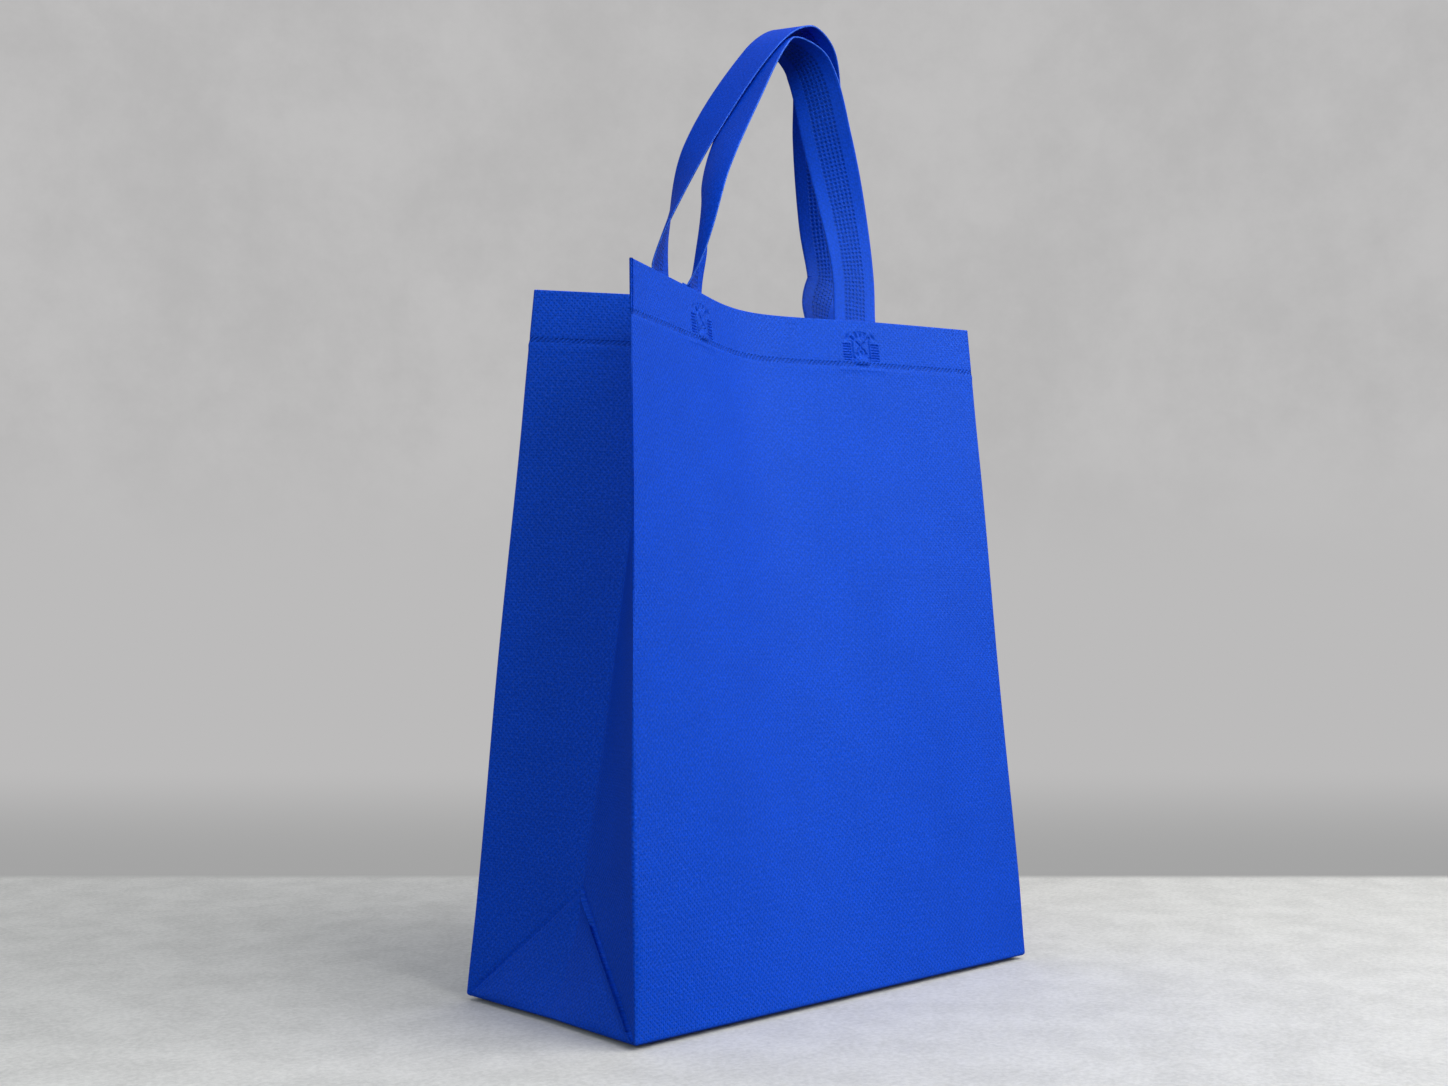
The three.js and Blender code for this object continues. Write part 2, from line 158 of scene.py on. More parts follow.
# The pressed marks of the hem, the cloth, the straps, the weld patches and the side seam: lengths and
# depths in mm, and how dark they are, partly the bonded cloth's own tone and partly painted shade in
# their hollows
HEM_MARK_PITCH = 2.9
HEM_MARK_SLANT = 1.0
HEM_MARK_HALF_HEIGHT = 1.4
HEM_MARK_DEPTH = 0.7
HEM_MARK_DARKNESS = 0.6
LATTICE_ACROSS = 2.9
LATTICE_UP = 2.9
BOND_DEPTH = 0.12
BOND_DARKNESS = 0.5
STRAP_BOND_DEPTH = 0.04
DOT_PITCH = 2.6
DOT_ROWS = 6
DOT_DARKNESS = 0.7
INNER_DOT_DEPTH = 1.0
OUTER_DOT_DEPTH = 0.03
PATCH_WIDTH = 36
PATCH_HEIGHT = 31
PATCH_BELOW_MOUTH = 19.5
PATCH_RELIEF = 0.85
PATCH_DIP = 1.0
PATCH_RIM = 3
PATCH_RIM_SHARE = 0.06
PATCH_SINK = 0.12
PATCH_LIFT = 0.2
PATCH_DARKNESS = 0.25
SEAM_FROM_CORNER = 15
SEAM_PITCH = 2.4
SEAM_FULL_WITHIN = 0.3
SEAM_GONE_BEYOND = 1.1
SEAM_SHARE = 0.5
BOTTOM_BELOW_MOUTH = 400

# The pressed pattern of a strap's weld, in mm from its middle line and below the mouth
BARS_ACROSS = (7.6, 13.4)
BARS_BELOW = (14.5, 25.5)
BAR_PITCH = 1.7
SIDES_ACROSS = (5.6, 6.8)
SIDES_BELOW = (12.5, 26)
SIDES_DEPTH = 0.8
RAY_CENTRE = 16
RAY_ANGLE = 0.46
RAYS_REACH = (5.5, 9.2)
PETALS_ACROSS = 9.6
PETALS_BELOW = 10.5
PETAL_LENGTH = 3.2
PETAL_WIDTH = 1.5
CROSS_CENTRE = 16.5
CROSS_WIDTH = 0.7
CROSS_REACH = (-1, 3.4)
DOME_CENTRE = 28
DOME_RADIUS = 5.3
DOME_SLOPE = 1.6
SKIRT_REACH = (DOME_RADIUS + 0.9, DOME_RADIUS + 3.2)

# How many times per metre the unevenness of the cloth and of the floor comes and goes
DYE_SCALE = 30
GRAIN_SCALE = 620
GLINT_SPECK_SCALE = 640
FIBRE_SCALE = 1500
HEM_WEAR_SCALE = 90
EDGE_WEAR_SCALE = 160
FLOOR_CLOUD_SCALE = 26
FLOOR_SPECKLE_SCALE = 300

# The height of the fibres and of worn edges in mm, how dark wear is, and for each cloth its specular
# level and its share of pale specks, which are painted glints of its satin sheen
FIBRE_HEIGHT = 0.08
EDGE_WEAR_HEIGHT = 0.05
EDGE_WEAR_DARKNESS = 0.3
BAG_SHINE = 0.18
BAG_GLINT_SPECKS = 0.16
STRAP_INNER_SHINE = 0.22
STRAP_OUTER_SHINE = 0.03
STRAP_GLINT_SPECKS = 0.06
EDGE_SHINE = 0.15
EDGE_GLINT_SPECKS = 0.05
SHINE_TINT = (0.3, 0.8, 1, 1)

# Colours of the cloth and of the stage, as sRGB from 0 to 255
CLOTH_BLUE = (7, 73, 214)
STRAP_BLUE = (6, 70, 212)
# The paler blue of the strap edges is a painted highlight along them
EDGE_HIGHLIGHT_BLUE = (60, 108, 228)
# The pale specks are painted glints of the cloth's satin sheen
GLINT_SPECK_COLOUR = (94, 144, 238)
FLOOR_GREY = (208, 207, 204)
WALL_GREY = (188, 187, 187)
# The darker grey at the wall's foot is painted shade where the wall meets the floor
WALL_FOOT_SHADE_GREY = (164, 164, 164)

# The stage: a floor that takes the wall's grey beyond a line behind the bag, in mm, the grey of the
# light that it throws on the bag, and the world's own light and faint clouds
FLOOR_SIZE = 30000
WALL_DISTANCE = 365
WALL_EDGE = 12
WALL_SHADE_REACH = 900
FLOOR_BOUNCE = 0.12
FILL_COLOUR = (0.94, 0.97, 1, 1)
FILL_STRENGTH = 0.32
CLOUDS_START = 0.12
CLOUD_SCALE = 9

# The camera stands where the photograph was taken from
PHOTO_WIDTH = 1448
FOCAL_PIXELS = 1671
SENSOR = 36
CAMERA_PLACE = (-699.8, -723.6, 225.8)
CAMERA_HEADING = (0.679, 0.7335)
CAMERA_PITCH = 1.954


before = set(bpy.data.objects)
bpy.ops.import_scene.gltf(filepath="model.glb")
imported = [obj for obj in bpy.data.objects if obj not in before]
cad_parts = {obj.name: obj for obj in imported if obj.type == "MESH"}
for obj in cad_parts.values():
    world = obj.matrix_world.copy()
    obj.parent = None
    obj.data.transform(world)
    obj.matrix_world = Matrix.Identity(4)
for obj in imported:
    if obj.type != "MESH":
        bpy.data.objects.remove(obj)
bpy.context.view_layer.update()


def linear(colour):
    """sRGB from 0 to 255 as Blender's linear colour."""
    share = np.array(colour) / 255
    value = np.where(share <= 0.04045, share / 12.92, ((share + 0.055) / 1.055) ** 2.4)
    return (*value.tolist(), 1.0)


def smooth(share):
    share = np.clip(share, 0, 1)
    return share * share * (3 - 2 * share)


def hump(distance, width):
    """A bell of height 1 that falls off over a width."""
    return np.exp(-((distance / width) ** 2))


def unit(vectors):
    return vectors / np.maximum(np.linalg.norm(vectors, axis=-1, keepdims=True), 1e-9)


def mix(a, b, share):
    share = np.asarray(share, float)[..., None]
    return a * (1 - share) + b * share


# The wall of the bag


def foot_corner(name):
    x = PANEL_WIDTH / 2 * (1 if "right" in name else -1)
    y = GUSSET_DEPTH / 2 * (1 if "back" in name else -1)
    return np.array([x, y, 0.0])


def mouth_corner(name):
    foot = foot_corner(name)
    lean_x, lean_y = LEAN[name]
    height = math.sqrt(PANEL_HEIGHT**2 - lean_x**2 - lean_y**2)
    return np.array([foot[0] - np.sign(foot[0]) * lean_x, foot[1] - np.sign(foot[1]) * lean_y, height])


def spline_through(points, pieces=200):
    """Points along a uniform Catmull-Rom curve, with their shares of its length."""
    points = np.array(points, float)
    padded = np.vstack([points[:1], points, points[-1:]])
    runs = []
    for i in range(len(points) - 1):
        p0, p1, p2, p3 = padded[i : i + 4]
        t = np.linspace(0, 1, pieces + 1)[:, None]
        v1, v2 = (p2 - p0) / 2, (p3 - p1) / 2
        run = (2 * p1 - 2 * p2 + v1 + v2) * t**3 + (-3 * p1 + 3 * p2 - 2 * v1 - v2) * t**2 + v1 * t + p1
        runs.append(run if i == 0 else run[1:])
    curve = np.vstack(runs)
    length = np.concatenate([[0], np.cumsum(np.linalg.norm(np.diff(curve, axis=0), axis=1))])
    return curve, length / length[-1]


class Panel:
    """A wide panel, which goes straight up from its bottom edge to its drawn-in mouth edge. It has no
    triangle, so its fold is its foot."""

    def __init__(self, start, end, pull, shape):
        self.width = PANEL_WIDTH
        self.start, self.end = foot_corner(start), foot_corner(end)
        left, right = mouth_corner(start)[:2], mouth_corner(end)[:2]
        along = right - left
        inward = np.array([-along[1], along[0]]) / np.linalg.norm(along)
        points = [left + along * s + inward * pull * d for s, d in shape]
        self.curve, self.shares = spline_through(points)

    def foot(self, share):
        return mix(self.start, self.end, share)

    fold = foot

    def mouth(self, share):
        foot = self.foot(share)
        top = np.stack([np.interp(share, self.shares, self.curve[:, k]) for k in (0, 1)], axis=-1)
        away = np.linalg.norm(top - foot[..., :2], axis=-1)
        return np.concatenate([top, np.sqrt(PANEL_HEIGHT**2 - away**2)[..., None]], axis=-1)


class GussetHalf:
    """One half of a gusset, between a corner of the bag and the crease."""

    def __init__(self, side, start, end):
        tip = triangle_tip(side)
        crease = crease_top(side, tip)
        self.width = GUSSET_DEPTH / 2
        middle = np.array([side * (PANEL_WIDTH / 2 - FOOT_BOW), 0.0, 0.0])
        ends = []
        for name in (start, end):
            if name:
                ends.append((foot_corner(name), foot_corner(name), mouth_corner(name)))
            else:
                ends.append((middle, tip, crease))
        self.feet, self.folds, self.mouths = zip(*ends)

    def foot(self, share):
        return mix(*self.feet, share)

    def fold(self, share):
        return mix(*self.folds, share)

    def mouth(self, share):
        return mix(*self.mouths, share)


def triangle_tip(side):
    lean = math.radians(TRIANGLE_LEAN)
    x = PANEL_WIDTH / 2 - TRIANGLE_HEIGHT * math.sin(lean)
    return np.array([side * x, -TRIANGLE_SKEW, TRIANGLE_HEIGHT * math.cos(lean)])


def crease_top(side, tip):
    name = "right" if side > 0 else "left"
    front, back = mouth_corner("front_" + name), mouth_corner("back_" + name)
    opening = np.linalg.norm((back - front)[:2])
    depth = math.sqrt((GUSSET_DEPTH / 2) ** 2 - (opening / 2) ** 2)
    x = (front[0] + back[0]) / 2 - side * depth * (back[1] - front[1]) / opening
    y = (front[1] + back[1]) / 2 + side * depth * (back[0] - front[0]) / opening
    away = math.hypot(x - tip[0], y - tip[1])
    return np.array([x, y, tip[2] + math.sqrt((PANEL_HEIGHT - TRIANGLE_HEIGHT) ** 2 - away**2)])


front_panel = Panel("front_left", "front_right", FRONT_PULL, FRONT_PULL_SHAPE)
back_panel = Panel("back_right", "back_left", BACK_PULL, BACK_PULL_SHAPE)
walls = [
    front_panel,
    GussetHalf(1, "front_right", None),
    GussetHalf(1, None, "back_right"),
    back_panel,
    GussetHalf(-1, "back_left", None),
    GussetHalf(-1, None, "front_left"),
]

# The walls that start at a corner of the bag. The others start at the crease of a gusset.
CORNER_STARTS = (0, 1, 3, 4)


def wall_point(wall, share, height):
    """A place on a wall, at a height measured along the fabric above the fold."""
    fold, top = wall.fold(share), wall.mouth(share)
    length = np.linalg.norm(top - fold, axis=-1)
    return mix(fold, top, height / length)


# The cloth body


def row_list():
    """The rows of the outside from the bottom up, as (stage, place). A place is a share of the way up
    the triangle in the fold stage, mm above the fold in the wall stage, a share of the plain stretch
    up to the hem in the share stage, and mm below the mouth in the mouth stage."""
    near_foot = [(FOOT_LIFT + FOOT_ROUND) * k / FOOT_STEPS for k in range(FOOT_STEPS + 1)]
    triangle = [("fold", d / (GUSSET_DEPTH / 2)) for d in near_foot + TRIANGLE_ROWS]
    above = [("wall", d) for d in near_foot + ROWS_ABOVE_FOLD]
    rise = PANEL_HEIGHT - HEM_HEIGHT
    stretch = [("share", s) for s in np.linspace(0, 1, round(rise / ROW_STEP))[1:-1]]
    near_weld = [HEM_HEIGHT + d for d in ROWS_ROUND_WELD]
    hem = [("mouth", d) for d in near_weld + ROWS_IN_HEM]
    return triangle + above + stretch + hem


def wall_row(wall, share, stage, place):
    """One row of a wall: its points, their height along the fabric from the foot, and their distance
    below the mouth."""
    fold, top, foot = wall.fold(share), wall.mouth(share), wall.foot(share)
    length = np.linalg.norm(top - fold, axis=-1)
    folded = np.linalg.norm(fold - foot, axis=-1)
    if stage == "fold":
        points = mix(foot, fold, np.full(share.shape, place))
        return points, folded * place, length + folded * (1 - place)
    low, high = ROWS_ABOVE_FOLD[-1], length - HEM_HEIGHT - ROWS_ROUND_WELD[0]
    height = {"wall": place, "share": low + (high - low) * place, "mouth": length - place}[stage]
    height = np.broadcast_to(height, share.shape)
    return mix(fold, top, height / length), folded + height, length - height


def columns(wall):
    return max(6, round(wall.width / PANEL_STEP))


def straight_part(i, stage, place):
    """A wall's row, cut short at both ends where the rounded corners take over: its points, places
    round the cloth, heights and distances below the mouth, and the sharp corner that follows it."""
    wall = walls[i]
    ends, heights, _ = wall_row(wall, np.array([0.0, 1.0]), stage, place)
    high = np.clip(heights / PANEL_HEIGHT, 0, 1)
    edge = EDGE_ROUND_LOW + (EDGE_ROUND_HIGH - EDGE_ROUND_LOW) * high
    square = [i in CORNER_STARTS, (i + 1) % len(walls) in CORNER_STARTS]
    trims = [(edge[k] if square[k] else CREASE_ROUND) / wall.width for k in (0, 1)]
    share = np.linspace(trims[0], 1 - trims[1], columns(wall) + 1)
    points, height, below = wall_row(wall, share, stage, place)
    started = sum(earlier.width for earlier in walls[:i])
    return points, started + share * wall.width, height, below, ends[1]


def corner_arc(start, corner, end, t):
    """Points along a rounded corner, from the end of one wall's row to the start of the next."""
    near, middle, far = ((1 - t) ** 2)[:, None], (2 * t * (1 - t))[:, None], (t**2)[:, None]
    return near * start + middle * corner + far * end


def run_on(values, end, t):
    """Values that run on evenly from the last one towards an end."""
    return np.concatenate([values, values[-1] + (end - values[-1]) * t])


def ring_row(stage, place):
    """A closed row round the bag with its corners rounded, as points, places round the cloth, heights
    and distances below the mouth."""
    parts = [straight_part(i, stage, place) for i in range(len(walls))]
    t = np.linspace(0, 1, CORNER_STEPS + 1)[1:-1]
    rows = []
    for i, (points, around, height, below, corner) in enumerate(parts):
        following = parts[(i + 1) % len(parts)]
        next_around = following[1][0] + (CLOTH_ROUND if i == len(parts) - 1 else 0)
        arc = corner_arc(points[-1], corner, following[0][0], t)
        rows.append((
            np.vstack([points, arc]),
            run_on(around, next_around, t),
            run_on(height, following[2][0], t),
            run_on(below, following[3][0], t),
        ))
    return [np.concatenate([row[k] for row in rows]) for k in range(4)]


def outside():
    rows = [ring_row(stage, place) for stage, place in row_list()]
    return [np.array([row[k] for row in rows]) for k in range(4)]


def grid_normals(points):
    """Outward normals of a grid whose rows close on themselves. Where a row has no rise, it takes the
    rise of the next row that has one."""
    around = np.roll(points, -1, axis=1) - np.roll(points, 1, axis=1)
    up = np.gradient(points, axis=0)
    still = np.linalg.norm(up, axis=-1) < NO_RISE
    for row, flat in enumerate(still):
        if flat.any():
            rising = [k for k in range(row, len(points)) if not still[k][flat].any()]
            up[row][flat] = up[rising[0] if rising else row][flat]
    return unit(np.cross(around, up))


def round_foot(points):
    """Rolls the lowest millimetres of the wall in under the bag. Their first step slopes up from the
    floor, which leaves a thin dark gap along the foot, and the others turn upright."""
    height = points[..., 2]
    rolled_height = FOOT_LIFT + FOOT_ROUND
    sloping = np.clip(height / (rolled_height / FOOT_STEPS), 0, 1)
    turning = (height / rolled_height - 1 / FOOT_STEPS) * FOOT_STEPS / (FOOT_STEPS - 1)
    turned = np.clip(turning, 0, 1) * math.pi / 2
    inset = FOOT_REACH + (FOOT_ROUND - FOOT_REACH) * sloping - FOOT_ROUND * np.sin(turned)
    low = FOOT_LIFT * sloping + FOOT_ROUND * (1 - np.cos(turned))
    near = height < rolled_height
    rolled = points.copy()
    for axis, size in ((0, PANEL_WIDTH), (1, GUSSET_DEPTH)):
        rolled[..., axis] *= 1 - np.where(near, inset, 0) / (size / 2)
    rolled[..., 2] = np.where(near, low, height)
    return rolled


def soft_waves(around, height, below):
    """Slow unevenness of standing cloth, fading out towards the hem and the foot."""
    waves = 0.55 * np.sin(around / 47 + 1.3) * np.sin(height / 83 + 0.4)
    waves += 0.4 * np.sin(around / 29 - height / 61 + 2.1)
    waves += 0.28 * np.sin(around / 17 + height / 37)
    return waves * smooth((below - HEM_HEIGHT - 4) / 60) * smooth((height - 4) / 50)


def gusset_place(around):
    """Distance round the cloth from the nearest crease of a gusset."""
    right = np.abs(around - PANEL_WIDTH - GUSSET_DEPTH / 2)
    left = np.abs(around - 2 * PANEL_WIDTH - GUSSET_DEPTH * 1.5)
    return np.minimum(right, left)


def fold_relief(around, height):
    """The pressed fold on both sides of the folded triangle, a lip with a valley right above it, and
    the slack valley down the triangle's middle. The fold next to the front panel is the deeper one."""
    crease = gusset_place(around)
    inside = crease < GUSSET_DEPTH / 2
    folded = np.linalg.norm(triangle_tip(1) - [PANEL_WIDTH / 2 - FOOT_BOW, 0, 0])
    fold_line = folded * (1 - crease / (GUSSET_DEPTH / 2))
    above = (height - fold_line) * math.sqrt(0.5)
    front = in_front_half(around)
    on_lip = above <= FOLD_LIP_TOP
    lip = FOLD_LIP * hump(above, FOLD_LIP_WIDTH) * on_lip * np.where(front, 1, REAR_LIP_SHARE)
    shallower = 1 - 0.5 * smooth(height / folded)
    depth = FOLD_VALLEY * shallower * np.where(front, 1, REAR_VALLEY_SHARE)
    valley = depth * hump(above - FOLD_VALLEY_ABOVE, FOLD_VALLEY_WIDTH) * ~on_lip
    fade = smooth((GUSSET_DEPTH / 2 - crease) / FOLD_CORNER_FADE)
    fade = fade * smooth((height - 1) / FOLD_FOOT_FADE)
    slack = -TRIANGLE_VALLEY * np.clip(1 - crease / TRIANGLE_VALLEY_WIDTH, 0, 1)
    slack = slack * smooth(height / TRIANGLE_VALLEY_START) * smooth(-above / TRIANGLE_VALLEY_END)
    return np.where(inside, (lip - valley) * fade + slack, 0)


def in_front_half(around):
    """Whether a place in a gusset lies between its crease and the front panel."""
    return (around < PANEL_WIDTH + GUSSET_DEPTH / 2) | (around > 2 * PANEL_WIDTH + GUSSET_DEPTH * 1.5)


def hem_relief(below):
    """The cloth is pressed in along the hem's weld and stands a little proud below it."""
    groove = -HEM_GROOVE * hump(below - HEM_HEIGHT, HEM_GROOVE_WIDTH)
    ridge = HEM_RIDGE * hump(below - HEM_HEIGHT - HEM_RIDGE_BELOW, HEM_RIDGE_WIDTH)
    return groove + ridge


def weld_dips(around, below):
    """Hollows in the outer skin, where the four weld patches lie in it."""
    dips = np.zeros(around.shape)
    for start in (0, PANEL_WIDTH + GUSSET_DEPTH):
        for side in (-1, 1):
            middle = start + PANEL_WIDTH / 2 + side * STRAP_SPACING / 2
            beside = np.abs(around - middle) < PATCH_WIDTH / 2 - PATCH_RIM
            level = np.abs(below - PATCH_BELOW_MOUTH) < PATCH_HEIGHT / 2 - PATCH_RIM
            dips = np.where(beside & level, PATCH_DIP, dips)
    return dips


def over_the_mouth(top, normals):
    """Rows that carry the cloth round the folded edge of the mouth, from outside to inside."""
    tangent = unit(np.roll(top, -1, axis=0) - np.roll(top, 1, axis=0))
    up = unit(np.cross(normals, tangent))
    angles = np.linspace(0, math.pi, MOUTH_STEPS + 1)[1:-1]
    middle = top - normals * FABRIC
    return np.array([middle + FABRIC * (normals * math.cos(a) + up * math.sin(a)) for a in angles])


def bag_cloth():
    points, around, height, below = outside()
    points = round_foot(points)
    normals = grid_normals(points)
    relief = soft_waves(around, height, below) + fold_relief(around, height)
    skin = points + normals * (relief + hem_relief(below) - weld_dips(around, below))[..., None]
    thickness = FABRIC + FABRIC * smooth((HEM_HEIGHT + HEM_STEP / 2 - below) / HEM_STEP)
    lining = points + normals * (relief - thickness)[..., None]
    lining[..., 2] = np.maximum(lining[..., 2], FABRIC)
    edge = over_the_mouth(skin[-1], normals[-1])
    grid = np.concatenate([skin, edge, lining[::-1]])
    places = [up_and_down(values, len(edge)) for values in (around, height, below)]
    return closed_grid_mesh("bag_cloth", grid, *places)


def up_and_down(values, count):
    """Values of the outside's rows, held over the edge of the mouth and run back down the inside."""
    return np.concatenate([values, np.repeat(values[-1:], count, axis=0), values[::-1]])


def closed_grid_mesh(name, grid, around, height, below):
    """A mesh from rows that close on themselves, capped at both ends, with its cloth coordinates."""
    rows, cols = grid.shape[:2]
    r, c = np.meshgrid(np.arange(rows - 1), np.arange(cols), indexing="ij")
    r, c = r.ravel(), c.ravel()
    nxt = (c + 1) % cols
    faces = np.stack([r * cols + c, r * cols + nxt, (r + 1) * cols + nxt, (r + 1) * cols + c], axis=1)
    wrap = np.where(c + 1 == cols, CLOTH_ROUND, 0)
    loops = []
    for rr, cc, extra in ((r, c, 0), (r, nxt, wrap), (r + 1, nxt, wrap), (r + 1, c, 0)):
        loops.append(np.stack([around[rr, cc] + extra, height[rr, cc], below[rr, cc]], axis=1))
    loops = np.stack(loops, axis=1)
    first = list(range(cols))[::-1]
    last = list(range((rows - 1) * cols, rows * cols))
    flat = grid.reshape(-1, 3)
    depths = np.full((cols, 1), float(BOTTOM_BELOW_MOUTH))
    cap_loops = [np.concatenate([flat[cap][:, :2], depths], axis=1) for cap in (first, last)]
    all_faces = faces.tolist() + [first, last]
    coordinates = np.concatenate([loops.reshape(-1, 3), *cap_loops])
    return make_mesh(name, flat, all_faces, coordinates)


def make_mesh(name, points, faces, coordinates):
    """A smooth mesh in metres. coordinates holds, for each corner of each face, the place round the
    cloth, its height, and its distance below the mouth."""
    mesh = bpy.data.meshes.new(name)
    mesh.from_pydata((np.asarray(points) * MM).tolist(), [], faces)
    coordinates = np.asarray(coordinates, float) * MM
    for layer, picked in (("cloth", (0, 1)), ("mouth", (0, 2))):
        uv = mesh.uv_layers.new(name=layer)
        uv.data.foreach_set("uv", coordinates[:, picked].ravel().astype(np.float32))
    mesh.polygons.foreach_set("use_smooth", [True] * len(mesh.polygons))
    mesh.validate()
    mesh.update()
    made = bpy.data.objects.new(name, mesh)
    bpy.context.scene.collection.objects.link(made)
    return made


# The straps

# The numbers of a strap's materials: its plain outer face, its inner face with the dots, its edges
PLAIN, DOTTED, EDGE = range(3)


def curve_through(knots, values, at):
    """A smooth curve through values given at rising knots, read at many places."""
    knots, values, at = np.asarray(knots, float), np.asarray(values, float), np.asarray(at, float)
    last = len(knots) - 1
    i = np.clip(np.searchsorted(knots, at, side="left") - 1, 0, last - 1)
    before, after = np.maximum(i - 1, 0), np.minimum(i + 2, last)
    span = knots[i + 1] - knots[i]
    start = (values[i + 1] - values[before]) / (knots[i + 1] - knots[before]) * span
    end = (values[after] - values[i]) / (knots[after] - knots[i]) * span
    t = (at - knots[i]) / span
    bend = t * t * (3 - 2 * t)
    between = values[i] * (1 - bend) + values[i + 1] * bend
    return between + start * t * (1 - t) ** 2 - end * t * t * (1 - t)


def weld_point(wall, share, height):
    """The middle of a strap that lies inside the hem, at a share along the panel."""
    share = np.asarray(share, float)
    point = wall_point(wall, share, height)
    ahead, behind = wall_point(wall, share + 1e-3, height), wall_point(wall, share - 1e-3, height)
    along = unit((ahead - behind)[..., :2])
    step = 2 * FABRIC + SEAT_GAP + STRAP_THICKNESS / 2
    inward = np.stack([-along[..., 1], along[..., 0], np.zeros(along.shape[:-1])], axis=-1) * step
    return point + inward


def strap_share(wall, side):
    """Which way along a panel leads from a strap to the middle, and where along it the strap sits."""
    towards_middle = -side if wall is front_panel else side
    return towards_middle, 0.5 - towards_middle * STRAP_SPACING / (2 * PANEL_WIDTH)


class Weld:
    """Where one end of a handle is welded inside the hem."""

    def __init__(self, wall, side):
        towards_middle, self.share = strap_share(wall, side)
        self.wall = wall
        self.across = towards_middle * STRAP_WIDTH / PANEL_WIDTH
        row = self.row_at(0)
        span = row[-1] - row[0]
        angle = math.degrees(math.atan2(span[1], span[0]))
        self.turn = angle + 360 if side > 0 and angle < 0 else angle
        self.mouth = weld_point(wall, self.share, PANEL_HEIGHT)
        self.top = weld_point(wall, self.share, PANEL_HEIGHT - STRAP_INSET + WELD_HEIGHT)
        self.end = weld_point(wall, self.share, PANEL_HEIGHT - STRAP_INSET)

    def row_at(self, height):
        j = np.linspace(-0.5, 0.5, STRAP_COLUMNS + 1)
        return weld_point(self.wall, self.share + self.across * j, PANEL_HEIGHT + height)


def loop_stations(left, right, rise, loop):
    """The places that a strap runs through, each with its turn, cup and tilt, from weld to weld."""
    stations = [(left.end, left.turn, 0, 0), (left.top, left.turn, 0, 0)]
    for across, up, lean, turn, cup, tilt in loop:
        base = left.mouth * (1 - across) + right.mouth * across
        y = base[1] * (1 - lean) + HANDLES_MEET_Y * lean
        if turn is None:
            turn = left.turn if across < 0.5 else right.turn
        stations.append((np.array([base[0], y, base[2] + rise * up]), turn, cup, tilt))
    return stations + [(right.top, right.turn, 0, 0), (right.end, right.turn, 0, 0)]


def free_row(centre, along, turn, cup, tilt):
    """Points across the free strap, stepped out both ways from its middle."""
    half = STRAP_COLUMNS // 2
    step = STRAP_WIDTH / STRAP_COLUMNS
    tilt = math.radians(tilt)

    def width_at(side):
        angle = math.radians(turn - cup * side)
        level = math.cos(tilt)
        across = np.array([math.cos(angle) * level, math.sin(angle) * level, math.sin(tilt)])
        return unit(across - along * np.dot(across, along))

    row = np.zeros((STRAP_COLUMNS + 1, 3))
    row[half] = centre
    for j in range(1, half + 1):
        side = (j - 0.5) / half
        row[half + j] = row[half + j - 1] + width_at(side) * step
        row[half - j] = row[half - j + 1] - width_at(-side) * step
    return row


def strap_surface(left, right, rise, loop):
    """The strap's middle surface, and how far along it each row lies."""
    stations = loop_stations(left, right, rise, loop)
    places = np.array([s[0] for s in stations])
    knots = np.concatenate([[0], np.cumsum(np.linalg.norm(np.diff(places, axis=0), axis=1))])
    at = np.linspace(0, knots[-1], STRAP_ROWS + 1)

    def centre(where):
        return np.stack([curve_through(knots, places[:, k], where) for k in range(3)], axis=-1)

    along = unit(centre(at + 0.5) - centre(at - 0.5))
    middle = centre(at)
    turn, cup, tilt = (curve_through(knots, [s[k] for s in stations], at) for k in (1, 2, 3))
    rows = []
    for i in range(STRAP_ROWS + 1):
        row = free_row(middle[i], along[i], turn[i], cup[i], tilt[i])
        from_left, from_right = at[i] - knots[1], knots[-2] - at[i]
        nearest = left if from_left < from_right else right
        above = min(from_left, from_right)
        welded = nearest.row_at(above + WELD_HEIGHT - STRAP_INSET)
        rows.append(mix(welded, row, smooth(above / WELD_RELEASE)))
    return np.array(rows), at


def strap(name, wall, rise, loop):
    """A strap folded in two: one edge is the rounded fold, the other shows the two cut edges."""
    rows, at = strap_surface(Weld(wall, -1), Weld(wall, 1), rise, loop)
    along = unit(np.gradient(rows, axis=0))
    across = unit(np.gradient(rows, axis=1))
    inward = unit(np.cross(across, along))
    half = STRAP_THICKNESS / 2
    place = np.linspace(-STRAP_WIDTH / 2, STRAP_WIDTH / 2, STRAP_COLUMNS + 1)
    inner = rows + inward * half
    outer = rows - inward * half
    cut = [rows[:, -1] + inward[:, -1] * half * i + across[:, -1] * a for i, a in CUT_EDGES]
    folded = [rows[:, 0] - inward[:, 0] * half * i - across[:, 0] * a for i, a in FOLDED_EDGE]
    ring = np.concatenate([inner, np.stack(cut, 1), outer[:, ::-1], np.stack(folded, 1)], axis=1)
    at_cut, at_fold = np.full(len(cut), place[-1]), np.full(len(folded), place[0])
    sides = np.concatenate([place, at_cut, place[::-1], at_fold])
    return tube_mesh(name, ring, sides, at, [len(place), len(cut), len(place), len(folded)])


